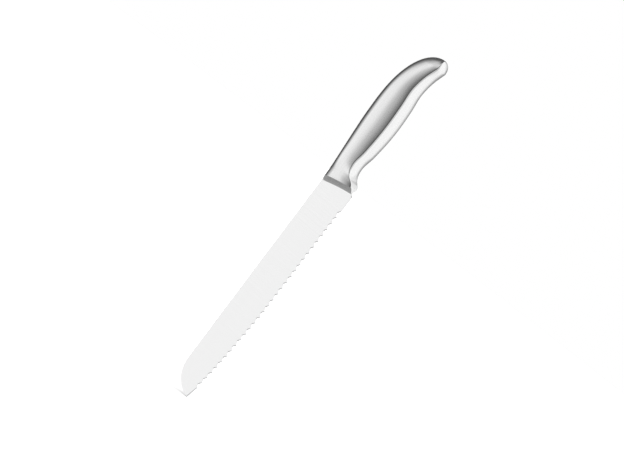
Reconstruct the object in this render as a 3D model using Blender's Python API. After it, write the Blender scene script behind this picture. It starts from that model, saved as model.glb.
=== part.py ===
"""Bread knife: a scalloped steel blade with a bolster and a welded hollow steel handle.

Metres. +Z runs from the tip to the butt, +X points to the cutting edge and -Y out of the blade's left
side. The origin is on the blade's flat left side, where a magnetic rack holds the knife.

Shapes are drawn as (along, height, across): along runs from the heel to the butt, height from the heel's
edge up to the spine, and across from the middle plane to the right side.
"""

import math

import bmesh
import bpy
import numpy as np
from mathutils import Vector

GAP = 0.0003  # between neighbouring pieces
SHARP_ANGLE = math.radians(30)

# Rack face: where the row's origin lies on the blade
RACK_ALONG = -0.090
RACK_HEIGHT = 0.017

# Blade
BLADE_HALF = 0.001  # half the plate's thickness
BLADE_TIP = 0.2035  # from the heel to the tip
TIP_HEIGHT = 0.0081
TIP_RADIUS = 0.0239  # the rounded nose
NOSE_START = 0.1800
SPINE_HEEL = 0.0292
SPINE_NOSE = 0.0281
SPINE_BOW = 0.00015  # the spine is very slightly round
NOSE_POINTS = 8
SPINE_POINTS = (0.150, 0.106, 0.074, 0.040, 0.008)  # the middle pair spans one large flat face at the origin
EDGE_THICK = 0.0003
HEEL_LOW = -0.0014  # the edge at the heel
EDGE_LINE = (  # the edge's base line from the heel to the tip: straight at first, then rising
    (0.0, HEEL_LOW), (0.060, HEEL_LOW), (0.095, HEEL_LOW), (0.115, -0.0012), (0.130, -0.0006), (0.145, 0.0003),
    (0.160, 0.0013), (0.175, 0.0027), (0.187, 0.0042), (BLADE_TIP, TIP_HEIGHT),
)
GRIND_HEIGHT = 0.0042
GRIND_END = 0.0012  # what is left of the grind at the heel and at the tip
SCALLOP_START = 0.0136
SCALLOP_COUNT = 31
SCALLOP_PITCH = 0.00578
SCALLOP_DEPTH = 0.0018
SCALLOP_STEPS = 4
PLATE_BACK = 0.0030  # the plate's rear edge, inside the bolster
PLATE_STEP = 0.0276  # behind the heel the plate is stepped down to here, under the bolster's back
HEEL_CUT = 0.0021  # height of the corner cut away behind the heel
TANG_END = 0.036
TANG_LOW = 0.0158
TANG_HIGH = 0.0268
TANG_NOTCH = 0.0025
TANG_NOTCH_ALONG = (0.025, 0.031)

# Bolster
RAMP_FRONT_HEEL = 0.0016  # where the ramp meets the blade, at the heel and at the spine
RAMP_FRONT_SPINE = -0.0039
SHOULDER_SPINE = 0.0003  # where the ramp meets the handle, at the spine
SHOULDER_DROP = 0.0060  # how much further back the shoulder is at the belly
SHOULDER_POWER = 0.7  # both lines curve: the shoulder most near the spine,
RAMP_LINE_POWER = 1.5  # and the ramp's front line most near the heel
RAMP_STEPS = 6
RAMP_EDGE = 0.0006  # the ramp's thickness where it starts on the blade
RAMP_LOW = 0.0012
RAMP_POWER = 2.0  # how hollow the ramp is
SPIGOT_END = 0.018
SPIGOT_STEPS = 8
SPIGOT_PLAY = 0.0009  # between the spigot and the shells, so that it clears them in the neck's bend
BEAD_LEG = 0.0010
BEAD_LOW = 0.0030
BEAD_HIGH = 0.0280
BEAD_STEPS = 9

# Handle
WALL = 0.0012
GUARD = 0.0088
BUTT = 0.1273
POLE_HEIGHT = 0.0066  # height of the butt's rearmost point
CREST_TOP = 0.072  # where the back is highest, and its long fall to the butt begins
CREST_HEIGHT = 0.0331
CREST = ((-0.006, 0.0292), (0.0, 0.0294), (0.015, 0.0295), (0.040, 0.0314), (0.056, 0.0326), (0.072, 0.0331))
BELLY_LOW = 0.119  # where the belly is lowest, and its short quarter ellipse begins
BELLY_HEIGHT = 0.0029
RIDGE = (
    (-0.006, -0.0013), (0.0, 0.0008), (GUARD, 0.0036), (0.0120, 0.0076), (0.0150, 0.0096), (0.0205, 0.0108),
    (0.034, 0.0088), (0.0600, 0.0069), (0.080, 0.0076), (0.0960, 0.0088), (0.1080, 0.0068), (0.119, 0.0029),
)
END_START = 0.117  # where the handle's plan starts to round off
BACK_END_POWER = 2.5  # fullness of the back's fall
PLAN_END_POWER = 2.0  # fullness of the plan's round end at the widest place,
RIDGE_END_POWER = 3.5  # and at the ridges, which keep their width nearly to the butt
WIDTH = (
    (-0.006, 0.0056), (0.0, 0.0058), (GUARD, 0.0064), (0.0120, 0.0078), (0.0205, 0.0084), (0.036, 0.0090),
    (0.060, 0.0097), (0.084, 0.0095), (0.102, 0.0086), (END_START, 0.0078),
)
CROWN = 0.0008  # how far the belly band stands out between its ridges
WIDEST_REACH = (  # half the width at the sides' widest, between the ridges and the crest
    (-0.006, 0.0061), (0.0, 0.0067), (GUARD, 0.0078), (0.0205, 0.0092), (0.036, 0.0103), (0.060, 0.0112),
    (0.084, 0.0110), (0.102, 0.0100), (END_START, 0.0090),
)
WIDEST = 0.6  # where they do, as a share of the way up from the ridge to the crest
SIDE_POINTS = 9
SIDE_SPREAD = 1.6  # how much closer the side's points lie toward the crest
BELLY_POINTS = 4
SECTION_POINTS = 2 * SIDE_POINTS + BELLY_POINTS
SETTLING_STEPS = 6
HANDLE_START = -0.005  # the handle's body is drawn from here, and its front is cut away
MIDDLE_START = 0.036
MIDDLE_STEPS = 13
END_STEPS = 9
END_TURN = math.radians(87)  # the stations turn this far round the butt, and a narrow flat closes it
NECK_STATIONS = (0.005, GUARD, 0.0102, 0.0117, 0.0135, 0.0156, 0.018, 0.0205, 0.024, 0.029)
SEAM_HALF = 0.0006  # half the width of the weld between the shells
RING_WIDTH = 0.0010  # width of the weld between the bolster and the shells
SPLIT_FRONT = (0.110, 0.018)  # the line between the two seam welds runs from here
SPLIT_BUTT = (0.121, 0.0066)  # to here, and then straight back through the butt

# Inner pieces
POTTING_END = 0.042
POTTING_STEPS = 7
WEIGHT_ALONG = (0.094, 0.112)
WEIGHT_INSET = 0.0035
WEIGHT_STEPS = 5
BEDDING_START = 0.097
BEDDING_END = 0.1240
BEDDING_STEPS = 9

# Cutters reach well past the handle
FAR_FRONT = -0.05
FAR_BACK = 0.20
BELOW = -0.02
ABOVE = 0.06
ASIDE = 0.03

STEEL_BLADE = ((0.80, 0.80, 0.80), 0.28, 1.0)
STEEL_HANDLE = ((0.70, 0.70, 0.69), 0.36, 1.0)
STEEL_BOLSTER = ((0.62, 0.62, 0.62), 0.30, 1.0)
STEEL_WELD = ((0.58, 0.58, 0.57), 0.40, 1.0)
STEEL_PLAIN = ((0.42, 0.42, 0.43), 0.50, 1.0)
RESIN = ((0.30, 0.27, 0.20), 0.60, 0.0)


def clear_scene():
    for thing in list(bpy.data.objects):
        bpy.data.objects.remove(thing, do_unlink=True)


def place(along, height, across):
    """A point of the drawing in the part's own frame."""
    return Vector((RACK_HEIGHT - height, across + BLADE_HALF, along - RACK_ALONG))


def steel(name, finish):
    colour, roughness, metallic = finish
    material = bpy.data.materials.new(name)
    material.use_nodes = True
    shader = material.node_tree.nodes["Principled BSDF"]
    shader.inputs["Base Color"].default_value = (*colour, 1.0)
    shader.inputs["Roughness"].default_value = roughness
    shader.inputs["Metallic"].default_value = metallic
    material.diffuse_color = (*colour, 1.0)
    return material


def add_object(name, mesh, finish=None):
    thing = bpy.data.objects.new(name, mesh)
    bpy.context.collection.objects.link(thing)
    if finish:
        mesh.materials.append(steel(name, finish))
    else:
        thing.hide_render = True
        thing.display_type = "WIRE"
    return thing


def finish_mesh(name, bm):
    """A mesh with its faces pointing out and shaded smooth up to its sharp edges."""
    bmesh.ops.recalc_face_normals(bm, faces=bm.faces)
    bmesh.ops.triangulate(bm, faces=bm.faces)
    mesh = bpy.data.meshes.new(name)
    bm.to_mesh(mesh)
    bm.free()
    mesh.shade_smooth()
    mesh.set_sharp_from_angle(angle=SHARP_ANGLE)
    return mesh


def tube(bm, rings):
    """The open wall through rings of points, as faces; it returns the rings' vertices."""
    loops = [[bm.verts.new(place(*point)) for point in ring] for ring in rings]
    for first, second in zip(loops, loops[1:]):
        for i in range(len(first)):
            j = (i + 1) % len(first)
            bm.faces.new((first[i], first[j], second[j], second[i]))
    return loops


def loft(name, rings):
    """A closed solid through rings of (along, height, across) points, with flat ends."""
    bm = bmesh.new()
    loops = tube(bm, rings)
    bm.faces.new(loops[0])
    bm.faces.new(loops[-1])
    return finish_mesh(name, bm)


def prism(name, outline, low, high):
    """A closed solid: an (along, height) outline carried across from low to high."""
    return loft(name, [[(*point, across) for point in outline] for across in (low, high)])


def boolean(thing, cutter, operation="DIFFERENCE"):
    modifier = thing.modifiers.new(f"{operation.lower()}_{cutter.name}", "BOOLEAN")
    modifier.operation = operation
    modifier.object = cutter
    modifier.solver = "EXACT"


def curve_value(points, x):
    """The smooth curve through points (Hermite, with each slope taken from its two neighbours)."""
    xs, ys = np.array(points).T
    slopes = np.gradient(ys, xs)
    i = int(np.clip(np.searchsorted(xs, x) - 1, 0, len(xs) - 2))
    step = xs[i + 1] - xs[i]
    t = (x - xs[i]) / step
    rise = ys[i + 1] - ys[i]
    start = slopes[i] * step
    end = slopes[i + 1] * step
    return ys[i] + t * start + t**2 * (3 * rise - 2 * start - end) + t**3 * (start + end - 2 * rise)


def quarter(along, start, end, power=2.0):
    """The quarter ellipse, or a fuller one with a higher power, from 1 at start down to 0 at end."""
    share = min(max((along - start) / (end - start), 0.0), 1.0)
    return math.sqrt(1 - share**power)


# ---- blade ----

def spine_height(distance):
    share = distance / NOSE_START
    return SPINE_HEEL + (SPINE_NOSE - SPINE_HEEL) * share + 4 * SPINE_BOW * share * (1 - share)


def edge_line(distance):
    """Height of the edge's base line at a distance from the heel toward the tip."""
    return curve_value(EDGE_LINE, distance)


def edge_points():
    """The scalloped edge from the heel to the tip: (distance, base height, height above the base)."""
    points = [(0.0, HEEL_LOW, 0.0)]
    for step in range(SCALLOP_COUNT * SCALLOP_STEPS + 1):
        phase = step % SCALLOP_STEPS / SCALLOP_STEPS
        distance = SCALLOP_START + step * SCALLOP_PITCH / SCALLOP_STEPS
        points.append((distance, edge_line(distance), SCALLOP_DEPTH * math.sin(math.pi * phase)))
    points.append((BLADE_TIP, TIP_HEIGHT, 0.0))
    return points


def nose_points(first_angle):
    """The arc of the nose from a point near the tip up to the spine."""
    centre = SPINE_NOSE - TIP_RADIUS
    angles = np.linspace(first_angle, math.pi / 2, NOSE_POINTS)
    return [(-NOSE_START - TIP_RADIUS * math.cos(a), centre + TIP_RADIUS * math.sin(a)) for a in angles]


def back_points():
    """The rest of the plate's outline: nose, spine, tang and the cut behind the heel."""
    tip_angle = math.asin((TIP_HEIGHT - SPINE_NOSE + TIP_RADIUS) / TIP_RADIUS)
    outline = nose_points(tip_angle + GRIND_END / TIP_RADIUS)
    outline += [(-distance, spine_height(distance)) for distance in SPINE_POINTS]
    outline += [(0.0, SPINE_HEEL), (0.0, PLATE_STEP), (PLATE_BACK, PLATE_STEP)]
    notch_start, notch_end = TANG_NOTCH_ALONG
    tang = [
        (PLATE_BACK, TANG_HIGH), (notch_start, TANG_HIGH), (notch_start, TANG_HIGH - TANG_NOTCH),
        (notch_end, TANG_HIGH - TANG_NOTCH), (notch_end, TANG_HIGH), (TANG_END, TANG_HIGH),
    ]
    outline += tang
    outline += [(along, TANG_HIGH + TANG_LOW - height) for along, height in reversed(tang)]
    outline.append((PLATE_BACK, HEEL_CUT))
    outline.append((PLATE_BACK * GRIND_END / (HEEL_CUT - HEEL_LOW), HEEL_LOW + GRIND_END))
    return outline


def blade_mesh():
    """The plate: its left side is flat down to the edge, and the scallops are ground from the right."""
    bm = bmesh.new()
    edge = edge_points()
    back = back_points()
    flat_edge = [bm.verts.new(place(-d, base + lift, -BLADE_HALF)) for d, base, lift in edge]
    thin_edge = [bm.verts.new(place(-d, base + lift, EDGE_THICK - BLADE_HALF)) for d, base, lift in edge]
    flat_back = [bm.verts.new(place(*point, -BLADE_HALF)) for point in back]
    ground_back = [bm.verts.new(place(*point, BLADE_HALF)) for point in back]
    grind = [ground_back[-1]]
    grind += [bm.verts.new(place(-d, base + GRIND_HEIGHT, BLADE_HALF)) for d, base, _ in edge[1:-1]]
    grind.append(ground_back[0])
    bm.faces.new(flat_edge + flat_back)
    bm.faces.new(grind + ground_back[1:-1])
    bm.faces.new((flat_edge[0], thin_edge[0], ground_back[-1], flat_back[-1]))
    bm.faces.new((flat_edge[-1], thin_edge[-1], ground_back[0], flat_back[0]))
    for chain in ((flat_edge, thin_edge), (thin_edge, grind), (flat_back, ground_back)):
        for i in range(len(chain[0]) - 1):
            bm.faces.new((chain[0][i], chain[0][i + 1], chain[1][i + 1], chain[1][i]))
    return finish_mesh("blade", bm)


# ---- handle ----

def crest_height(along, inset):
    reach = quarter(along, CREST_TOP, BUTT - inset, BACK_END_POWER)
    if along > CREST_TOP:
        return POLE_HEIGHT + (CREST_HEIGHT - inset - POLE_HEIGHT) * reach
    return curve_value(CREST, along) - inset


def ridge_height(along, inset):
    reach = quarter(along, BELLY_LOW, BUTT - inset)
    if along > BELLY_LOW:
        return POLE_HEIGHT - (POLE_HEIGHT - BELLY_HEIGHT - inset) * reach
    return curve_value(RIDGE, along) + inset


def side_reach(share, widest, width, swollen):
    """Half the section's width at a share of the way up from the ridge to the crest."""
    if share > widest:
        return swollen * math.sqrt(1 - ((share - widest) / (1 - widest)) ** 2)
    return swollen - (swollen - width) * (1 - share / widest) ** 2


def section(along, inset=0.0):
    """The handle's closed (height, across) section: down the right side, over the belly, up the left.

    The back is half an ellipse, and from its widest place the flanks draw in to the ridges. Along the
    back's fall to the butt the widest place comes down to the ridges.
    """
    end = BUTT - inset
    low = ridge_height(along, inset)
    high = crest_height(along, inset)
    full_width = curve_value(WIDTH, min(along, END_START)) - inset
    width = full_width * quarter(along, END_START, end, RIDGE_END_POWER)
    fall = quarter(along, CREST_TOP, end, BACK_END_POWER)
    widest = curve_value(WIDEST_REACH, min(along, END_START)) - inset
    swollen = (full_width + (widest - full_width) * fall) * quarter(along, END_START, end, PLAN_END_POWER)
    side = [(high, 0.0)]
    for i in range(1, SIDE_POINTS + 1):
        share = 1 - (i / SIDE_POINTS) ** SIDE_SPREAD
        side.append((low + (high - low) * share, side_reach(share, WIDEST * fall, width, swollen)))
    crown = CROWN * min(max(along / GUARD - 1, 0.0), 1.0) * quarter(along, BELLY_LOW, end)
    belly = []
    for i in range(1, BELLY_POINTS):
        share = 1 - 2 * i / BELLY_POINTS
        belly.append((low - crown * (1 - share**2), width * share))
    return side + belly + [(height, -across) for height, across in reversed(side[1:])]


def shoulder(height):
    """How far back the bolster's shoulder is at a height."""
    share = min(max((SPINE_HEEL - height) / SPINE_HEEL, 0.0), 1.0)
    return SHOULDER_SPINE + SHOULDER_DROP * share**SHOULDER_POWER


def ramp_front(height):
    """Where the bolster's ramp starts on the blade at a height."""
    share = min(max(height / SPINE_HEEL, 0.0), 1.0)
    return RAMP_FRONT_HEEL + (RAMP_FRONT_SPINE - RAMP_FRONT_HEEL) * share**RAMP_LINE_POWER


def slanted_ring(inset):
    """The handle's section on the slanted shoulder surface, each point moved along until it lies there."""
    ring = []
    for i in range(SECTION_POINTS):
        along = shoulder(SPINE_HEEL / 2)
        for _ in range(SETTLING_STEPS):
            height, across = section(along, inset)[i]
            along = shoulder(height)
        ring.append((along, height, across))
    return ring


def straight_ring(along, inset):
    return [(along, height, across) for height, across in section(along, inset)]


def handle_stations(end):
    """Stations along the handle: close together at the neck and the butt, wide apart between."""
    stations = [HANDLE_START, *NECK_STATIONS]
    stations += list(np.linspace(MIDDLE_START, END_START, MIDDLE_STEPS))
    turn = np.linspace(0, END_TURN, END_STEPS)[1:]
    stations += [END_START + (end - END_START) * math.sin(angle) for angle in turn]
    return stations


def handle_solid(name, inset):
    """The handle as one closed body, drawn in by inset."""
    return loft(name, [straight_ring(along, inset) for along in handle_stations(BUTT - inset)])


def shoulder_outline(front_offset, rear_offset):
    """The (along, height) strip between two lines that follow the shoulder."""
    heights = [BELOW, *np.linspace(0.0, SPINE_HEEL, 10), ABOVE]
    front = [(shoulder(height) + front_offset, height) for height in heights]
    rear = [(shoulder(height) + rear_offset, height) for height in heights]
    return front + rear[::-1]


def add_cutters():
    """The bodies that the handle's pieces are cut with."""
    everything = [(FAR_FRONT, BELOW), (FAR_FRONT, ABOVE), (FAR_BACK, ABOVE), (FAR_BACK, BELOW)]
    front = RING_WIDTH + 2 * GAP
    plate_back = PLATE_BACK + GAP
    under = [
        (FAR_FRONT, BELOW), (FAR_FRONT, SPLIT_FRONT[1]), SPLIT_FRONT, SPLIT_BUTT, (FAR_BACK, SPLIT_BUTT[1]),
        (FAR_BACK, BELOW),
    ]
    under_grown = [(along, height + GAP if height > BELOW else height) for along, height in under]
    slot = [
        (FAR_FRONT, BELOW), (plate_back, BELOW), (plate_back, TANG_LOW - GAP),
        (TANG_END + GAP, TANG_LOW - GAP), (TANG_END + GAP, TANG_HIGH + GAP), (plate_back, TANG_HIGH + GAP),
        (plate_back, PLATE_STEP + GAP), (GAP, PLATE_STEP + GAP), (GAP, ABOVE), (FAR_FRONT, ABOVE),
    ]
    shapes = {
        "ahead": (shoulder_outline(FAR_FRONT, front), -ASIDE, ASIDE),
        "ring": (shoulder_outline(GAP, GAP + RING_WIDTH), -ASIDE, ASIDE),
        "seam": (everything, -SEAM_HALF, SEAM_HALF),
        "not_left": (everything, -SEAM_HALF - GAP, ASIDE),
        "not_right": (everything, -ASIDE, SEAM_HALF + GAP),
        "under": (under, -ASIDE, ASIDE),
        "under_grown": (under_grown, -ASIDE, ASIDE),
        "slot": (slot, -BLADE_HALF - GAP, BLADE_HALF + GAP),
    }
    cutters = {name: add_object(f"{name}_cutter", prism(name, *shape)) for name, shape in shapes.items()}
    cutters["cavity"] = add_object("cavity_cutter", handle_solid("cavity", WALL))
    cutters["weight"] = add_object("weight_cutter", weight_mesh(GAP))
    return cutters


def add_handle(cutters):
    """The two half shells and the welds that join them to each other and to the bolster."""
    outer = handle_solid("handle_outer", 0.0)
    pieces = {
        "handle_shell_left": (STEEL_HANDLE, [], ["cavity", "not_left", "ahead"]),
        "handle_shell_right": (STEEL_HANDLE, [], ["cavity", "not_right", "ahead"]),
        "spine_seam_weld": (STEEL_WELD, ["seam"], ["cavity", "ahead", "under_grown"]),
        "belly_seam_weld": (STEEL_WELD, ["seam", "under"], ["cavity", "ahead"]),
        "bolster_seam_weld": (STEEL_WELD, ["ring"], ["cavity"]),
    }
    for name, (finish, kept, removed) in pieces.items():
        piece = add_object(name, outer.copy(), finish)
        for cutter in kept:
            boolean(piece, cutters[cutter], "INTERSECT")
        for cutter in removed:
            boolean(piece, cutters[cutter])


# ---- bolster and the welds at the blade's root ----

def ramp_ring(rear, share):
    """A ring of the concave ramp, from the blade (share 0) to the shoulder (share 1)."""
    low = min(height for _, height, _ in rear)
    high = max(height for _, height, _ in rear)
    edge = BLADE_HALF + GAP + RAMP_EDGE
    ring = []
    for along, height, across in rear:
        front_height = RAMP_LOW + (height - low) / (high - low) * (SPINE_HEEL - RAMP_LOW)
        front = ramp_front(front_height)
        front_across = min(max(across, -edge), edge)
        ring.append((
            front + (along - front) * share,
            front_height + (height - front_height) * share,
            front_across + (across - front_across) * share**RAMP_POWER,
        ))
    return ring


def spigot_ring(share):
    """A ring of the spigot inside the shells, from the shoulder (share 0) to its rear end (share 1)."""
    inset = WALL + SPIGOT_PLAY
    ring = []
    for i, (front, _, _) in enumerate(slanted_ring(inset)):
        along = front + (SPIGOT_END - front) * share
        ring.append((along, *section(along, inset)[i]))
    return ring


def add_bolster(cutters):
    rear = slanted_ring(0.0)
    rings = [ramp_ring(rear, step / RAMP_STEPS) for step in range(RAMP_STEPS + 1)]
    rings += [spigot_ring(step / SPIGOT_STEPS) for step in range(SPIGOT_STEPS + 1)]
    bolster = add_object("bolster", loft("bolster", rings), STEEL_BOLSTER)
    boolean(bolster, cutters["slot"])


def add_root_weld(name, side):
    """A fillet bead along the line where the ramp meets one side of the blade."""
    rings = []
    for height in np.linspace(BEAD_LOW, BEAD_HIGH, BEAD_STEPS):
        along = ramp_front(height) - GAP
        foot = side * (BLADE_HALF + GAP)
        top = foot + side * RAMP_EDGE
        rings.append([(along, height, foot), (along - BEAD_LEG, height, foot), (along, height, top)])
    add_object(name, loft(name, rings), STEEL_WELD)


# ---- inside the handle ----

def weight_mesh(grow=0.0):
    start, end = WEIGHT_ALONG
    stations = np.linspace(start - grow, end + grow, WEIGHT_STEPS)
    return loft("balance_weight", [straight_ring(along, WEIGHT_INSET - grow) for along in stations])


def add_filling(name, start, end, steps, cutter):
    """Resin that fills the cavity between two stations, cast round what the cutter stands for."""
    rings = [straight_ring(along, WALL + GAP) for along in np.linspace(start, end, steps)]
    filling = add_object(name, loft(name, rings), RESIN)
    boolean(filling, cutter)


def add_inner_pieces(cutters):
    add_filling("tang_potting", SPIGOT_END + GAP, POTTING_END, POTTING_STEPS, cutters["slot"])
    add_object("balance_weight", weight_mesh(), STEEL_PLAIN)
    add_filling("weight_bedding", BEDDING_START, BEDDING_END, BEDDING_STEPS, cutters["weight"])


def main():
    clear_scene()
    cutters = add_cutters()
    add_object("blade", blade_mesh(), STEEL_BLADE)
    add_bolster(cutters)
    add_root_weld("blade_root_weld_left", -1)
    add_root_weld("blade_root_weld_right", 1)
    add_handle(cutters)
    add_inner_pieces(cutters)


main()
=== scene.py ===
"""Bread knife: the finished look of its scalloped blade, bolster and welded hollow steel handle.

Metres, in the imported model's frame: +Z runs from the tip to the butt, +X points to the cutting edge and
-Y out of the blade's left side. Shapes are drawn as (along, height, across): along runs from the heel to
the butt, height from the heel's edge up to the spine, and across from the middle plane to the right side.
"""

import math

import bmesh
import bpy
import numpy as np
from mathutils import Matrix, Vector


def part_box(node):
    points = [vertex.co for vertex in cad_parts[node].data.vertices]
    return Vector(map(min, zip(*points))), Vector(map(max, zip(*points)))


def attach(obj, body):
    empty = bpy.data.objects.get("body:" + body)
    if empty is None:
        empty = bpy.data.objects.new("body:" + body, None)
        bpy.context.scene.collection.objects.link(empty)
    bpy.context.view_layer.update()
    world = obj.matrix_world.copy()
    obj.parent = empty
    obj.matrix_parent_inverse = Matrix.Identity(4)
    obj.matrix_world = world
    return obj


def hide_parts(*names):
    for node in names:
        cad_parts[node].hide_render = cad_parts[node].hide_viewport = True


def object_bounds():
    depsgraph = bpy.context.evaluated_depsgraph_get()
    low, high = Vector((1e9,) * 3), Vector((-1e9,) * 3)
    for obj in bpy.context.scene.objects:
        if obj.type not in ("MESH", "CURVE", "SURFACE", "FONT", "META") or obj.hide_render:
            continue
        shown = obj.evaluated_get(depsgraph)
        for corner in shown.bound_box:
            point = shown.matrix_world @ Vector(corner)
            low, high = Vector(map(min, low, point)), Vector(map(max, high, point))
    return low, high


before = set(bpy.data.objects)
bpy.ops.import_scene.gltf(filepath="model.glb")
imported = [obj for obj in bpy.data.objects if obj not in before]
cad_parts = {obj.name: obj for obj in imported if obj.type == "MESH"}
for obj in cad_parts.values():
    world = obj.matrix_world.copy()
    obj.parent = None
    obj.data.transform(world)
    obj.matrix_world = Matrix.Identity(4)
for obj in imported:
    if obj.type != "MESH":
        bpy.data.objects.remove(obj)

CAD_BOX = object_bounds()
BLADE_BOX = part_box("blade")

# Blade
BLADE_HALF = (BLADE_BOX[1].y - BLADE_BOX[0].y) / 2  # half the plate's thickness
BLADE_TIP = 0.2035  # from the heel to the tip
TIP_HEIGHT = 0.0081
TIP_RADIUS = 0.0239  # the rounded nose
NOSE_START = 0.1800  # from the heel to where the nose begins
SPINE_HEEL = 0.0292  # the spine's height at the heel and where the nose begins
SPINE_NOSE = 0.0281
SPINE_BOW = 0.00015  # the spine is very slightly round
SPINE_ROUND = 0.00035  # the radius of the spine's edges
HEEL_LOW = -0.0014  # the edge at the heel
EDGE_LINE = (  # the edge's base line from the heel to the tip: straight at first, then rising
    (0.0, HEEL_LOW), (0.060, HEEL_LOW), (0.095, HEEL_LOW), (0.115, -0.0012), (0.130, -0.0006),
    (0.145, 0.0003), (0.160, 0.0013), (0.175, 0.0027), (0.187, 0.0042), (BLADE_TIP, TIP_HEIGHT),
)
EDGE_OFFSET = 0.00045  # the edge's distance from the flat left side
EDGE_THICK = 0.00012
BEVEL_HEIGHT = 0.0006  # the small bevel on the left side of the edge
GRIND_HEIGHT = 0.0036  # the hollow grind on the right side, above the edge
GRIND_END = 0.0012  # what is left of it at the heel and at the tip
GRIND_ARCH = 0.7  # how far the grind's upper border follows the scallops
GRIND_SHARE = 0.6  # the most of a section's height that the grind takes,
ROUND_SHARE = 0.2  # and that a bevel or a rounding takes
FLAT_SHARES = (0.7, 0.8)  # how far up the flat left and right sides have one more point
SCALLOP_START = 0.0136  # from the heel
SCALLOP_COUNT = 31
SCALLOP_PITCH = 0.00578
SCALLOP_DEPTH = 0.0018
SCALLOP_STEPS = 20
HEEL_STATIONS = 12  # sections of the plain edge at the heel, and of the one at the tip
TIP_STATIONS = 60
TIP_FLAT = 0.00004  # the last section is this far short of the tip
EDGE_STOP = 0.0010  # behind this the plate isn't ground
PLATE_BACK = 0.0030  # the plate's rear edge, inside the bolster
PLATE_STEP = 0.0276  # behind the heel the plate is stepped down to here, under the bolster's back
HEEL_CUT = 0.0021  # height of the corner cut away behind the heel
TANG_END = 0.036
TANG_LOW = 0.0158
TANG_HIGH = 0.0268
TANG_NOTCH = 0.0025
TANG_NOTCH_ALONG = (0.025, 0.031)

# Bolster
RAMP_FRONT_HEEL = 0.0016  # where the ramp meets the blade, at the heel and at the spine
RAMP_FRONT_SPINE = -0.0039
RAMP_LOW = 0.0012  # the lowest point of the ramp's front
RAMP_STEPS = 26
RAMP_POWER = 1.7  # how hollow the ramp is
RAMP_EDGE = 0.00003  # the ramp's thickness where it starts on the blade
ROOT_WELD_SHARE = 0.22  # the ramp's front part, built up by the welds at the blade's root
ROOT_WELD_STEPS = 8
SHOULDER_SPINE = 0.0003  # where the ramp meets the handle, at the spine
SHOULDER_DROP = 0.0060  # how much further back the shoulder is at the belly
SHOULDER_POWER = 0.7  # both lines curve: the shoulder most near the spine,
RAMP_LINE_POWER = 1.5  # and the ramp's front line most near the heel
SPIGOT_REACH = 0.011  # how far the bolster's spigot reaches into the shells, and its play there
SPIGOT_PLAY = 0.0009
SPIGOT_STEPS = 8
SLOT_FRONT = -0.02  # the block that cuts the blade's slot reaches well past the bolster
SLOT_LOW = -0.01
SLOT_HIGH = 0.04
RING_WIDTH = 0.0010  # width of the weld between the bolster and the shells

# Handle
WALL = 0.0012  # the shells' thickness
GUARD = 0.0088  # where the belly band begins to curl up behind the guard
BUTT = 0.1273  # the rear end
POLE_HEIGHT = 0.0066  # height of the butt's rearmost point
CREST_TOP = 0.072  # where the back is highest, and its long fall to the butt begins
CREST_HEIGHT = 0.0331
CREST = (  # the back's height
    (-0.006, 0.0292), (0.0, 0.0294), (0.015, 0.0295), (0.040, 0.0314), (0.056, 0.0326),
    (CREST_TOP, CREST_HEIGHT),
)
BELLY_LOW = 0.119  # where the belly is lowest, and its short quarter ellipse begins
BELLY_HEIGHT = 0.0029
RIDGE = (  # height of the ridges between the flanks and the belly band
    (-0.006, -0.0013), (0.0, 0.0008), (GUARD, 0.0036), (0.0120, 0.0076), (0.0150, 0.0096),
    (0.0205, 0.0108), (0.034, 0.0088), (0.0600, 0.0069), (0.080, 0.0076), (0.0960, 0.0088),
    (0.1080, 0.0068), (BELLY_LOW, BELLY_HEIGHT),
)
END_START = 0.117  # where the handle's plan starts to round off
BACK_END_POWER = 2.5  # fullness of the back's fall
PLAN_END_POWER = 2.0  # fullness of the plan's round end at the widest place,
RIDGE_END_POWER = 3.5  # and at the ridges, which keep their width nearly to the butt
WIDTH = (  # half the width at the ridges
    (-0.006, 0.0056), (0.0, 0.0058), (GUARD, 0.0064), (0.0120, 0.0078), (0.0205, 0.0084), (0.036, 0.0090),
    (0.060, 0.0097), (0.084, 0.0095), (0.102, 0.0086), (END_START, 0.0078),
)
WIDEST_REACH = (  # half the width at the sides' widest, between the ridges and the crest
    (-0.006, 0.0061), (0.0, 0.0067), (GUARD, 0.0078), (0.0205, 0.0092), (0.036, 0.0103), (0.060, 0.0112),
    (0.084, 0.0110), (0.102, 0.0100), (END_START, 0.0090),
)
CROWN = 0.0008  # how far the belly band stands out between its ridges
WIDEST = 0.6  # where the sides are widest, as a share of the way up from the ridge to the crest
RIDGE_ROUND = 0.0008  # the radius of the ridges,
RIDGE_ROUND_SHARE = 0.25  # and the most of the ridge's half width that it takes
SEAM_HALF = 0.0006  # half the width of the weld between the shells
SEAM_LINE = 0.00001  # half of the hairline between pieces that are ground flush
FRONT_BLEND = 0.016  # in front of this the rings change from slanted to straight
FRONT_RINGS = 22
BODY_RINGS = 96
END_RINGS = 22
END_TURN = math.radians(88)  # the rings turn this far round the butt, and a narrow flat closes it
SIDE_POINTS = 40
SIDE_SPREAD = 1.6  # how much closer the side's points lie toward the crest
ROUND_POINTS = 4
BELLY_POINTS = 8
HALF_POINTS = SIDE_POINTS + ROUND_POINTS + BELLY_POINTS + 1
SETTLING_STEPS = 6  # rounds of working out where a slanted ring meets the handle
SMOOTH_ANGLE = math.radians(24)
BLADE_SMOOTH_ANGLE = math.radians(8)

# Camera
VIEW_TURN = math.radians(27)  # to the edge's side of straight at the left face
VIEW_RISE = math.radians(5)
VIEW_ROLL = math.radians(37.3)
VIEW_DISTANCE = 1.35
VIEW_LENS = 100.0
VIEW_AIM = (-0.039, 0.0096, 0.0)  # the point in the middle of the picture, as (along, height, across)


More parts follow.
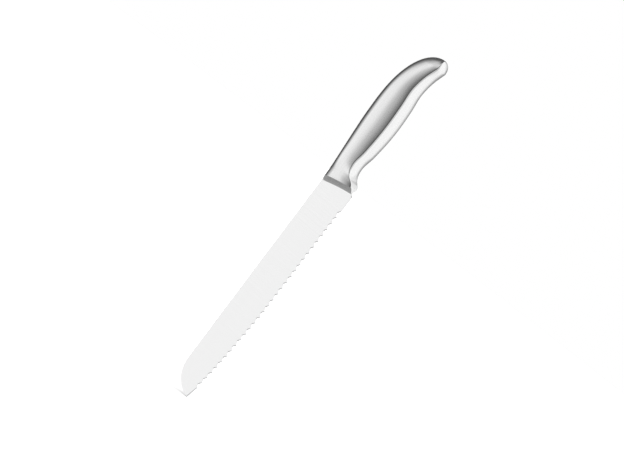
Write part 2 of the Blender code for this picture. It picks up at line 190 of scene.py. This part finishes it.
def place(along, height, across):
    """A point of the drawing in the model's frame."""
    return Vector((
        BLADE_BOX[1].x + HEEL_LOW - height,
        (BLADE_BOX[0].y + BLADE_BOX[1].y) / 2 + across,
        BLADE_BOX[0].z + BLADE_TIP + along,
    ))


def clamp(value, low=0.0, high=1.0):
    return min(max(value, low), high)


def curve_value(points, x):
    """The smooth curve through points (Hermite, with each slope taken from its two neighbours)."""
    xs, ys = points[:, 0], points[:, 1]
    i = int(clamp(np.searchsorted(xs, x) - 1, 0, len(xs) - 2))
    step = xs[i + 1] - xs[i]
    t = (x - xs[i]) / step
    rise = ys[i + 1] - ys[i]
    start, end = points[i, 2] * step, points[i + 1, 2] * step
    return ys[i] + t * start + t**2 * (3 * rise - 2 * start - end) + t**3 * (start + end - 2 * rise)


def with_slopes(points):
    xs, ys = np.array(points).T
    return np.column_stack((xs, ys, np.gradient(ys, xs)))


CREST_CURVE = with_slopes(CREST)
RIDGE_CURVE = with_slopes(RIDGE)
WIDTH_CURVE = with_slopes(WIDTH)
WIDEST_CURVE = with_slopes(WIDEST_REACH)
EDGE_CURVE = with_slopes(EDGE_LINE)


def quarter(along, start, end, power=2.0):
    """The quarter ellipse, or a fuller one with a higher power, from 1 at start down to 0 at end."""
    return math.sqrt(1 - clamp((along - start) / (end - start)) ** power)


# ---- meshes ----

def new_piece(name, bm, material, replaced, sharp=SMOOTH_ANGLE):
    """A finished piece: faces out, smooth up to its sharp edges, riding on the knife's one body."""
    bmesh.ops.remove_doubles(bm, verts=bm.verts, dist=1e-7)
    bmesh.ops.recalc_face_normals(bm, faces=bm.faces)
    mesh = bpy.data.meshes.new(name)
    bm.to_mesh(mesh)
    bm.free()
    mesh.shade_smooth()
    mesh.set_sharp_from_angle(angle=sharp)
    mesh.materials.append(material)
    piece = bpy.data.objects.new(name, mesh)
    bpy.context.scene.collection.objects.link(piece)
    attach(piece, "root")
    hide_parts(replaced)


def wall(bm, rings, closed=True):
    """Faces through rings of (along, height, across) points; it returns the rings' vertices."""
    loops = [[bm.verts.new(place(*point)) for point in ring] for ring in rings]
    count = len(loops[0])
    for first, second in zip(loops, loops[1:]):
        for i in range(count if closed else count - 1):
            j = (i + 1) % count
            bm.faces.new((first[i], first[j], second[j], second[i]))
    return loops


def loft(rings):
    """A closed solid through closed rings; strips across each end ring join its two halves."""
    bm = bmesh.new()
    loops = wall(bm, rings)
    for loop in (loops[0], loops[-1]):
        last = len(loop) - 1
        for i in range(len(loop) // 2 - 1):
            bm.faces.new((loop[i], loop[i + 1], loop[last - i - 1], loop[last - i]))
    return bm


# ---- blade ----

def spine_height(distance):
    if distance > NOSE_START:
        drop = math.sqrt(max(TIP_RADIUS**2 - (distance - NOSE_START) ** 2, 0.0))
        return SPINE_NOSE - TIP_RADIUS + drop
    share = distance / NOSE_START
    return SPINE_HEEL + (SPINE_NOSE - SPINE_HEEL) * share + 4 * SPINE_BOW * share * (1 - share)


def edge_line(distance):
    """Height of the edge's base line at a distance from the heel toward the tip."""
    return curve_value(EDGE_CURVE, distance)


def scallop_lift(distance):
    turns = (distance - SCALLOP_START) / SCALLOP_PITCH
    if not 0 < turns < SCALLOP_COUNT:
        return 0.0
    return SCALLOP_DEPTH * math.sin(math.pi * (turns % 1.0))


def grind_height(distance):
    """How high the hollow grind is above the edge's base line."""
    last = SCALLOP_START + SCALLOP_COUNT * SCALLOP_PITCH
    heel = clamp(distance / SCALLOP_START)
    tip = clamp((BLADE_TIP - distance) / (BLADE_TIP - last))
    return GRIND_END + (GRIND_HEIGHT - GRIND_END) * min(heel, tip)


def plate_ring(along, low, high, grind, edge=(EDGE_OFFSET, EDGE_OFFSET + EDGE_THICK)):
    """A section of the plate, from the edge up its left side, over the spine and down its right side."""
    total = high - low
    bevel = min(BEVEL_HEIGHT, ROUND_SHARE * total)
    grind = min(grind, GRIND_SHARE * total)
    turn = min(SPINE_ROUND, ROUND_SHARE * total)
    flat_left, flat_right = (low + share * total for share in FLAT_SHARES)
    left = [(low, edge[0] - BLADE_HALF), (low + bevel, -BLADE_HALF), (flat_left, -BLADE_HALF)]
    right = [(flat_right, BLADE_HALF), (low + grind, BLADE_HALF), (low, edge[1] - BLADE_HALF)]
    angles = np.linspace(0, math.pi / 2, ROUND_POINTS)
    spine = [(high - turn + turn * math.sin(a), BLADE_HALF - turn + turn * math.cos(a)) for a in angles]
    spine_left = [(height, -across) for height, across in spine]
    return [(along, *point) for point in left + spine_left + spine[::-1] + right]


def blade_distances():
    """Stations from the tip to the heel: each tooth's point is one of them."""
    step = SCALLOP_PITCH / SCALLOP_STEPS
    scalloped = [SCALLOP_START + i * step for i in range(SCALLOP_COUNT * SCALLOP_STEPS + 1)]
    plain = np.linspace(scalloped[-1], BLADE_TIP - TIP_FLAT, TIP_STATIONS + 1)[1:]
    heel = np.linspace(0, SCALLOP_START, HEEL_STATIONS + 1)[:-1]
    return [*heel, *scalloped, *plain][::-1]


def add_blade(material):
    """The blade and its notched stub tang, from the tip back."""
    rings = []
    for distance in blade_distances():
        lift = scallop_lift(distance)
        grind = grind_height(distance) - lift * (1 - GRIND_ARCH)
        rings.append(plate_ring(-distance, edge_line(distance) + lift, spine_height(distance), grind))
    notch_start, notch_end = TANG_NOTCH_ALONG
    rise = (HEEL_CUT - HEEL_LOW) / PLATE_BACK
    heel = [(along, HEEL_LOW + rise * along, PLATE_STEP) for along in (EDGE_STOP, PLATE_BACK)]
    tang = [(PLATE_BACK, 0), (notch_start, 0), (notch_start, TANG_NOTCH), (notch_end, TANG_NOTCH)]
    tang += [(notch_end, 0), (TANG_END, 0)]
    heel += [(along, TANG_LOW + notch, TANG_HIGH - notch) for along, notch in tang]
    rings += [plate_ring(along, low, high, GRIND_END, (0.0, 2 * BLADE_HALF)) for along, low, high in heel]
    new_piece("blade_plate", loft(rings), material, "blade", BLADE_SMOOTH_ANGLE)


# ---- handle ----

def crest_height(along, inset):
    if along > CREST_TOP:
        reach = quarter(along, CREST_TOP, BUTT - inset, BACK_END_POWER)
        return POLE_HEIGHT + (CREST_HEIGHT - inset - POLE_HEIGHT) * reach
    return curve_value(CREST_CURVE, along) - inset


def ridge_height(along, inset):
    if along > BELLY_LOW:
        return POLE_HEIGHT - (POLE_HEIGHT - BELLY_HEIGHT - inset) * quarter(along, BELLY_LOW, BUTT - inset)
    return curve_value(RIDGE_CURVE, along) + inset


class Section:
    """The handle's section at a place along it: an oval back, drawn-in flanks and a crowned belly band."""

    def __init__(self, along, inset):
        end = BUTT - inset
        full_width = curve_value(WIDTH_CURVE, min(along, END_START)) - inset
        widest = curve_value(WIDEST_CURVE, min(along, END_START)) - inset
        fall = quarter(along, CREST_TOP, end, BACK_END_POWER)
        self.low = ridge_height(along, inset)
        self.high = crest_height(along, inset)
        self.width = full_width * quarter(along, END_START, end, RIDGE_END_POWER)
        swollen = full_width + (widest - full_width) * fall
        self.swollen = swollen * quarter(along, END_START, end, PLAN_END_POWER)
        self.widest = WIDEST * fall
        self.crown = CROWN * clamp(along / GUARD - 1) * quarter(along, BELLY_LOW, end)
        height = self.high - self.low
        self.round = min(RIDGE_ROUND, ROUND_SHARE * height, RIDGE_ROUND_SHARE * self.width)

    def side(self, down):
        """A point of the side at a share of the way down from the crest to the ridge."""
        share = 1 - down**SIDE_SPREAD
        if share > self.widest:
            reach = self.swollen * math.sqrt(1 - ((share - self.widest) / (1 - self.widest)) ** 2)
        else:
            reach = self.swollen - (self.swollen - self.width) * (1 - share / self.widest) ** 2
        return self.low + (self.high - self.low) * share, reach

    def belly(self, across):
        return self.low - self.crown * (1 - (across / self.width) ** 2), across

    def seam(self):
        """How far down the side the seam's border is."""
        top = math.sqrt(max(1 - (SEAM_HALF / self.swollen) ** 2, 0.0))
        return (1 - self.widest - (1 - self.widest) * top) ** (1 / SIDE_SPREAD)

    def point(self, i):
        """Point i of the right half, from the seam at the crest to the seam on the belly."""
        share = self.round / (self.high - self.low)
        last = (1 - share) ** (1 / SIDE_SPREAD)
        if i <= SIDE_POINTS:
            start = self.seam()
            return self.side(start + (last - start) * i / SIDE_POINTS)
        if i < SIDE_POINTS + ROUND_POINTS:
            t = (i - SIDE_POINTS) / ROUND_POINTS
            corner = (self.low, self.width)
            points = zip(self.side(last), corner, self.belly(self.width - self.round))
            return tuple((1 - t) ** 2 * a + 2 * t * (1 - t) * b + t * t * c for a, b, c in points)
        t = (i - SIDE_POINTS - ROUND_POINTS) / BELLY_POINTS
        start = self.width - self.round
        return self.belly(start + (SEAM_HALF - start) * t)


def shoulder(height):
    """How far back the bolster's shoulder is at a height."""
    return SHOULDER_SPINE + SHOULDER_DROP * clamp((SPINE_HEEL - height) / SPINE_HEEL) ** SHOULDER_POWER


def ramp_front(height):
    """Where the bolster's ramp starts on the blade at a height."""
    share = clamp(height / SPINE_HEEL)
    return RAMP_FRONT_HEEL + (RAMP_FRONT_SPINE - RAMP_FRONT_HEEL) * share**RAMP_LINE_POWER


def slanted_half(offset, inset, share=0.0):
    """Half a ring on the slanted shoulder, or a share of the way from there to the first straight ring."""
    ring = []
    for i in range(HALF_POINTS):
        along = shoulder(SPINE_HEEL / 2)
        for _ in range(SETTLING_STEPS):
            height, across = Section(along, inset).point(i)
            front = shoulder(height) + offset
            along = front + (FRONT_BLEND - front) * share
        ring.append((along, height, across))
    return ring


def straight_half(along, inset):
    section = Section(along, inset)
    return [(along, *section.point(i)) for i in range(HALF_POINTS)]


def half_rings(offset, inset):
    """Half rings of one surface of the handle, from the front to the butt."""
    end = BUTT - inset
    rings = [slanted_half(offset, inset, i / FRONT_RINGS) for i in range(FRONT_RINGS)]
    rings += [straight_half(along, inset) for along in np.linspace(FRONT_BLEND, END_START, BODY_RINGS)]
    turns = np.linspace(0, END_TURN, END_RINGS)[1:]
    rings += [straight_half(END_START + (end - END_START) * math.sin(turn), inset) for turn in turns]
    return rings


def sided(rings, side, shift):
    """Rings moved out by a shift and put on the left (side -1) or on the right (side 1)."""
    return [[(a, h, side * (c + shift)) for a, h, c in ring] for ring in rings]


def add_shell(name, node, side, outer, inner, material):
    """A half shell: outer and inner skins, joined by its front edge and the two faces at the seam."""
    bm = bmesh.new()
    skins = [wall(bm, sided(rings, side, SEAM_LINE), closed=False) for rings in (outer, inner)]
    for i in range(HALF_POINTS - 1):
        bm.faces.new((skins[0][0][i], skins[0][0][i + 1], skins[1][0][i + 1], skins[1][0][i]))
    for border in (0, -1):
        first, second = ([loop[border] for loop in skin] for skin in skins)
        for i in range(len(outer) - 1):
            bm.faces.new((first[i], first[i + 1], second[i + 1], second[i]))
    first, second = skins[0][-1], skins[1][-1]
    bm.faces.new(first)
    bm.faces.new(second)
    bm.faces.new((first[0], first[-1], second[-1], second[0]))
    new_piece(name, bm, material, node)


def add_seam_weld(name, node, border, outer, inner, material):
    """The weld between the shells, ground flush: along the spine (border 0) or along the belly (-1)."""
    rings = []
    for out, into in zip(outer, inner):
        ring = []
        for (along, height, _), inset in ((out[border], 0.0), (into[border], WALL)):
            section = Section(along, inset)
            middle = section.high if border == 0 else section.low - section.crown
            ring.append([(along, height, -SEAM_HALF), (along, middle, 0.0), (along, height, SEAM_HALF)])
        rings.append(ring[0] + ring[1][::-1])
    new_piece(name, loft(rings), material, node)


def whole(half):
    """A whole ring from the points of its right half."""
    return half + [(along, height, -across) for along, height, across in reversed(half)]


def add_bolster_weld(material):
    """The ring weld between the bolster and the shells."""
    steps = [SEAM_LINE, RING_WIDTH / 2, RING_WIDTH - SEAM_LINE]
    outer = [whole(slanted_half(offset, 0.0)) for offset in steps]
    inner = [whole(slanted_half(offset, WALL)) for offset in steps]
    bm = bmesh.new()
    wall(bm, outer + inner[::-1] + outer[:1])  # out, back inside, and shut where it started
    new_piece("bolster_ring_seam", bm, material, "bolster_seam_weld")


# ---- bolster ----

def ramp_ring(rear, share):
    """A ring of the concave ramp, from the blade (share 0) to the shoulder (share 1)."""
    low = min(height for _, height, _ in rear)
    high = max(height for _, height, _ in rear)
    edge = BLADE_HALF + RAMP_EDGE
    ring = []
    for along, height, across in rear:
        front_height = RAMP_LOW + (height - low) / (high - low) * (SPINE_HEEL - RAMP_LOW)
        front = ramp_front(front_height)
        front_across = clamp(across, -edge, edge)
        ring.append((
            front + (along - front) * share,
            front_height + (height - front_height) * share,
            front_across + (across - front_across) * share**RAMP_POWER,
        ))
    return ring


def cut(bm, cutter):
    """The mesh with the cutter's mesh taken away."""
    parts = []
    for made in (bm, cutter):
        bmesh.ops.recalc_face_normals(made, faces=made.faces)
        mesh = bpy.data.meshes.new("cut")
        made.to_mesh(mesh)
        made.free()
        thing = bpy.data.objects.new("cut", mesh)
        bpy.context.scene.collection.objects.link(thing)
        parts.append(thing)
    modifier = parts[0].modifiers.new("cut", "BOOLEAN")
    modifier.solver = "EXACT"
    modifier.object = parts[1]
    evaluated = parts[0].evaluated_get(bpy.context.evaluated_depsgraph_get())
    result = bmesh.new()
    result.from_mesh(evaluated.to_mesh())
    for thing in parts:
        bpy.data.objects.remove(thing)
    return result


def slot_block():
    """The room that the plate and its tang take up in the bolster."""
    back = PLATE_BACK + SEAM_LINE
    outline = [
        (SLOT_FRONT, SLOT_LOW), (0.0, SLOT_LOW), (0.0, HEEL_LOW), (back, HEEL_CUT - SEAM_LINE),
        (back, TANG_LOW - SEAM_LINE), (TANG_END, TANG_LOW - SEAM_LINE),
        (TANG_END, TANG_HIGH + SEAM_LINE), (back, TANG_HIGH + SEAM_LINE),
        (back, PLATE_STEP + SEAM_LINE), (SEAM_LINE, PLATE_STEP + SEAM_LINE),
        (SEAM_LINE, SLOT_HIGH), (SLOT_FRONT, SLOT_HIGH),
    ]
    bm = bmesh.new()
    reach = BLADE_HALF + SEAM_LINE
    sides = wall(bm, [[(*point, across) for point in outline] for across in (-reach, reach)])
    for side in sides:
        bm.faces.new(side)
    return bm


def add_bolster(steel, weld):
    """The ramp and the spigot in one forging, slotted for the blade, with the welds at the blade's root."""
    rear = whole(slanted_half(0.0, 0.0))
    shares = np.linspace(ROOT_WELD_SHARE, 1, RAMP_STEPS)
    rings = [ramp_ring(rear, share) for share in shares]
    for offset in np.linspace(0, SPIGOT_REACH, SPIGOT_STEPS):
        rings.append(whole(slanted_half(offset, WALL + SPIGOT_PLAY)))
    new_piece("bolster_forging", cut(loft(rings), slot_block()), steel, "bolster")
    for side, word in ((-1, "left"), (1, "right")):
        add_root_weld(f"root_weld_{word}", f"blade_root_weld_{word}", side, rear, weld)


def add_root_weld(name, node, side, rear, material):
    """One side of the ramp's thin front part, which the weld builds up on the blade."""
    rings = []
    foot = BLADE_HALF + SEAM_LINE
    for share in np.linspace(0, ROOT_WELD_SHARE, ROOT_WELD_STEPS):
        ring = [point for point in ramp_ring(rear, share) if point[2] * side > 0]
        outer = [(a, h, side * max(abs(c), foot + RAMP_EDGE)) for a, h, c in ring]
        if side < 0:
            outer.reverse()
        rings.append(outer + [(a, h, side * foot) for a, h, _ in reversed(outer)])
    new_piece(name, loft(rings), material, node)


# ---- materials ----

# Steels: colour, roughness, the scratches' and the streaks' scales along the three axes, the scratches'
# depth, and how far the streaks change the colour
BLADE_STEEL = ((0.88, 0.88, 0.88), 0.16, (60, 60, 9000), (8, 30, 500), 0.000002, 0.02)
HANDLE_STEEL = ((0.82, 0.82, 0.82), 0.15, (6000, 6000, 90), (600, 600, 20), 0.0000012, 0.04)
BOLSTER_STEEL = ((0.78, 0.78, 0.78), 0.22, (6000, 6000, 90), (500, 500, 60), 0.0000012, 0.04)
WELD_STEEL = ((0.81, 0.81, 0.81), 0.17, (6000, 6000, 90), (600, 600, 25), 0.0000012, 0.04)
SAWN_STEEL = ((0.42, 0.42, 0.43), 0.45, (3000, 3000, 200), (300, 300, 60), 0.00002, 0.04)
SCRATCH_ROUGHNESS = 0.02  # how far the scratches change the roughness,
STREAK_ROUGHNESS = 0.1  # and the streaks, as a share of it
NOISE_LOW = 0.3  # the noise's usual range
NOISE_HIGH = 0.7
RESIN_COLOURS = ((0.20, 0.17, 0.11), (0.38, 0.34, 0.26))  # the dark and the light clouds
RESIN_DEPTH = 0.0001
FLOOR_COLOURS = ((0.86, 0.86, 0.86), (0.90, 0.90, 0.90))


def add_node(tree, kind, inputs=None, **settings):
    """A node with its settings; an input goes by name or number, and is a value or a socket to link."""
    made = tree.nodes.new(kind)
    for name, value in settings.items():
        setattr(made, name, value)
    for name, value in (inputs or {}).items():
        if isinstance(value, bpy.types.NodeSocket):
            tree.links.new(value, made.inputs[name])
        else:
            made.inputs[name].default_value = value
    return made


def new_material(name):
    material = bpy.data.materials.new(name)
    material.use_nodes = True
    tree = material.node_tree
    return material, tree, tree.nodes["Principled BSDF"]


def grain(tree, scale, detail=3.0):
    """Noise stretched by a scale for each axis, in the model's own coordinates."""
    where = add_node(tree, "ShaderNodeTexCoord").outputs["Object"]
    mapped = add_node(tree, "ShaderNodeMapping", {"Vector": where, "Scale": scale}).outputs["Vector"]
    inputs = {"Vector": mapped, "Scale": 1.0, "Detail": detail, "Roughness": 0.6}
    return add_node(tree, "ShaderNodeTexNoise", inputs).outputs["Fac"]


def ranged(tree, value, low, high):
    """The noise's usual range, stretched to run from low to high."""
    inputs = {"Value": value, "From Min": NOISE_LOW, "From Max": NOISE_HIGH, "To Min": low, "To Max": high}
    return add_node(tree, "ShaderNodeMapRange", inputs).outputs["Result"]


def tint(tree, shader, share, dark, light):
    """The base colour runs from dark to light with the share."""
    ramp = add_node(tree, "ShaderNodeValToRGB", {"Fac": share})
    ramp.color_ramp.elements[0].color = (*dark, 1)
    ramp.color_ramp.elements[1].color = (*light, 1)
    tree.links.new(ramp.outputs["Color"], shader.inputs["Base Color"])


def emboss(tree, shader, height, depth, strength):
    inputs = {"Height": height, "Distance": depth, "Strength": strength}
    tree.links.new(add_node(tree, "ShaderNodeBump", inputs).outputs["Normal"], shader.inputs["Normal"])


def steel_material(name, colour, roughness, fine, coarse, depth, spread):
    """Brushed steel: fine scratches and soft streaks, both stretched along the brushing."""
    material, tree, shader = new_material(name)
    shader.inputs["Metallic"].default_value = 1.0
    streaks = grain(tree, coarse)
    scratches = grain(tree, fine, detail=2.0)
    dark = [channel * (1 - spread) for channel in colour]
    light = [channel * (1 + spread) for channel in colour]
    tint(tree, shader, ranged(tree, streaks, 0.0, 1.0), dark, light)
    change = roughness * STREAK_ROUGHNESS
    rough_streaks = ranged(tree, streaks, roughness - change, roughness + change)
    rough_scratches = ranged(tree, scratches, -SCRATCH_ROUGHNESS, SCRATCH_ROUGHNESS)
    both = add_node(tree, "ShaderNodeMath", {0: rough_streaks, 1: rough_scratches}, operation="ADD")
    tree.links.new(both.outputs[0], shader.inputs["Roughness"])
    emboss(tree, shader, scratches, depth, 0.5)
    return material


def resin_material():
    """Cast resin, clouded by its filler."""
    material, tree, shader = new_material("cast_resin")
    clouds = grain(tree, (300, 300, 300), detail=5.0)
    tint(tree, shader, clouds, *RESIN_COLOURS)
    tree.links.new(ranged(tree, clouds, 0.5, 0.7), shader.inputs["Roughness"])
    emboss(tree, shader, clouds, RESIN_DEPTH, 0.4)
    return material


def floor_material():
    material, tree, shader = new_material("pale_floor")
    tint(tree, shader, grain(tree, (3, 3, 3)), *FLOOR_COLOURS)
    shader.inputs["Roughness"].default_value = 0.6
    return material


# ---- studio ----

# How bright the surroundings are, by the direction's turn from -Y toward +X, in degrees: level and raised
LEVEL_LIGHT = (
    (-180, 0.18), (-165, 0.08), (-104, 0.08), (-90, 0.24), (-76, 0.56), (-58, 0.92),
    (-24, 0.92), (-15, 0.50), (-6, 0.11), (8, 0.10), (20, 0.36), (38, 0.86),
    (75, 0.62), (105, 0.50), (125, 0.98), (158, 1.0), (169, 0.36), (180, 0.18),
)
RAISED_LIGHT = (
    (-180, 0.95), (-168, 0.20), (-150, 0.10), (-100, 0.10), (-80, 0.24), (-55, 0.50),
    (-30, 0.70), (-14, 0.45), (-4, 0.12), (8, 0.10), (20, 0.36), (38, 0.90),
    (75, 0.85), (105, 0.80), (125, 1.0), (165, 1.0), (180, 0.95),
)
SIDE_STRENGTH = 1.4
RAISED_FADE = (0.05, 0.60)  # the direction's rise where the level light changes to the raised light
LOW_LIGHT = 0.5  # the light from below, and from above
LOW_FADE = (-0.28, -0.60)
HIGH_LIGHT = 1.0
HIGH_FADE = (0.85, 0.97)
OVERHEAD_ENERGY = 3.6
OVERHEAD_ANGLE = math.radians(70)
FLOOR_RADIUS = 4.0
FLOOR_GAP = 0.0002  # between the tip and the floor
MIX_FIRST = 2  # numbers of a float Mix node's two inputs
MIX_SECOND = 3


def ring_light(tree, share, stops):
    """A ring of light around the knife; share is the way round it."""
    ramp = add_node(tree, "ShaderNodeValToRGB", {"Fac": share})
    ramp.color_ramp.interpolation = "EASE"
    elements = ramp.color_ramp.elements
    for degrees, value in stops[1:-1]:
        elements.new((degrees + 180) / 360).color = (value, value, value, 1)
    elements[0].color = (*[stops[0][1]] * 3, 1)
    elements[-1].color = (*[stops[-1][1]] * 3, 1)
    inputs = {0: ramp.outputs["Color"], 1: SIDE_STRENGTH}
    return add_node(tree, "ShaderNodeMath", inputs, operation="MULTIPLY").outputs[0]


def faded(tree, rise, fade, first, second):
    """The first light, changing to the second one as the direction rises or falls through the fade."""
    inputs = {"Value": rise, "From Min": fade[0], "From Max": fade[1]}
    share = add_node(tree, "ShaderNodeMapRange", inputs, interpolation_type="SMOOTHSTEP").outputs["Result"]
    inputs = {0: share, MIX_FIRST: first, MIX_SECOND: second}
    return add_node(tree, "ShaderNodeMix", inputs, data_type="FLOAT").outputs[0]


def add_world():
    """A studio of soft light walls with dark gaps; the camera itself sees plain white behind the knife."""
    world = bpy.data.worlds.new("studio")
    bpy.context.scene.world = world
    world.use_nodes = True
    tree = world.node_tree
    tree.nodes.clear()
    direction = add_node(tree, "ShaderNodeTexCoord").outputs["Generated"]
    parts = add_node(tree, "ShaderNodeSeparateXYZ", {"Vector": direction}).outputs
    forward = add_node(tree, "ShaderNodeMath", {0: parts["Y"], 1: -1.0}, operation="MULTIPLY").outputs[0]
    turn = add_node(tree, "ShaderNodeMath", {0: parts["X"], 1: forward}, operation="ARCTAN2").outputs[0]
    inputs = {"Value": turn, "From Min": -math.pi, "From Max": math.pi}
    share = add_node(tree, "ShaderNodeMapRange", inputs).outputs["Result"]
    level, raised = (ring_light(tree, share, stops) for stops in (LEVEL_LIGHT, RAISED_LIGHT))
    light = faded(tree, parts["Z"], RAISED_FADE, level, raised)
    light = faded(tree, parts["Z"], LOW_FADE, light, LOW_LIGHT)
    light = faded(tree, parts["Z"], HIGH_FADE, light, HIGH_LIGHT)
    seen = add_node(tree, "ShaderNodeLightPath").outputs["Is Camera Ray"]
    lit = add_node(tree, "ShaderNodeBackground", {"Strength": light}).outputs[0]
    plain = add_node(tree, "ShaderNodeBackground", {"Strength": 1.0, "Color": (1, 1, 1, 1)}).outputs[0]
    both = add_node(tree, "ShaderNodeMixShader", {0: seen, 1: lit, 2: plain}).outputs[0]
    add_node(tree, "ShaderNodeOutputWorld", {"Surface": both})


def add_floor():
    bm = bmesh.new()
    bmesh.ops.create_circle(bm, cap_ends=True, segments=96, radius=FLOOR_RADIUS)
    mesh = bpy.data.meshes.new("floor")
    bm.to_mesh(mesh)
    bm.free()
    mesh.materials.append(floor_material())
    floor = bpy.data.objects.new("floor", mesh)
    floor.location = (0, 0, CAD_BOX[0].z - FLOOR_GAP)
    floor.visible_glossy = False
    bpy.context.scene.collection.objects.link(floor)


def add_overhead():
    """A very soft light from straight above for the floor; polished steel doesn't show it."""
    data = bpy.data.lights.new("overhead", "SUN")
    data.angle = OVERHEAD_ANGLE
    data.energy = OVERHEAD_ENERGY
    lamp = bpy.data.objects.new("overhead", data)
    lamp.visible_glossy = False
    bpy.context.scene.collection.objects.link(lamp)


def add_camera():
    """The camera looks at the left side from the edge's side, and is rolled so that the knife leans."""
    back = Vector((
        math.sin(VIEW_TURN) * math.cos(VIEW_RISE),
        -math.cos(VIEW_TURN) * math.cos(VIEW_RISE),
        math.sin(VIEW_RISE),
    ))
    data = bpy.data.cameras.new("camera")
    data.lens = VIEW_LENS
    data.sensor_width = 36.0
    camera = bpy.data.objects.new("camera", data)
    camera.location = place(*VIEW_AIM) + back * VIEW_DISTANCE
    upright = back.to_track_quat("Z", "Y")
    roll = Matrix.Rotation(VIEW_ROLL, 4, "Z")
    camera.rotation_euler = (upright.to_matrix().to_4x4() @ roll).to_euler()
    bpy.context.scene.collection.objects.link(camera)
    bpy.context.scene.camera = camera


def main():
    blade_steel = steel_material("blade_steel", *BLADE_STEEL)
    handle_steel = steel_material("handle_steel", *HANDLE_STEEL)
    bolster_steel = steel_material("bolster_steel", *BOLSTER_STEEL)
    weld_steel = steel_material("weld_steel", *WELD_STEEL)
    sawn_steel = steel_material("sawn_steel", *SAWN_STEEL)
    resin = resin_material()

    add_blade(blade_steel)
    outer = half_rings(RING_WIDTH + SEAM_LINE, 0.0)
    inner = half_rings(RING_WIDTH + SEAM_LINE, WALL)
    add_shell("handle_skin_left", "handle_shell_left", -1, outer, inner, handle_steel)
    add_shell("handle_skin_right", "handle_shell_right", 1, outer, inner, handle_steel)
    add_seam_weld("spine_seam", "spine_seam_weld", 0, outer, inner, weld_steel)
    add_seam_weld("belly_seam", "belly_seam_weld", -1, outer, inner, weld_steel)
    add_bolster_weld(weld_steel)
    add_bolster(bolster_steel, weld_steel)

    inner_pieces = {"tang_potting": resin, "weight_bedding": resin, "balance_weight": sawn_steel}
    for node, material in inner_pieces.items():
        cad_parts[node].data.materials.clear()
        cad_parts[node].data.materials.append(material)

    add_world()
    add_floor()
    add_overhead()
    add_camera()
    bpy.context.scene.view_settings.view_transform = "Standard"


main()
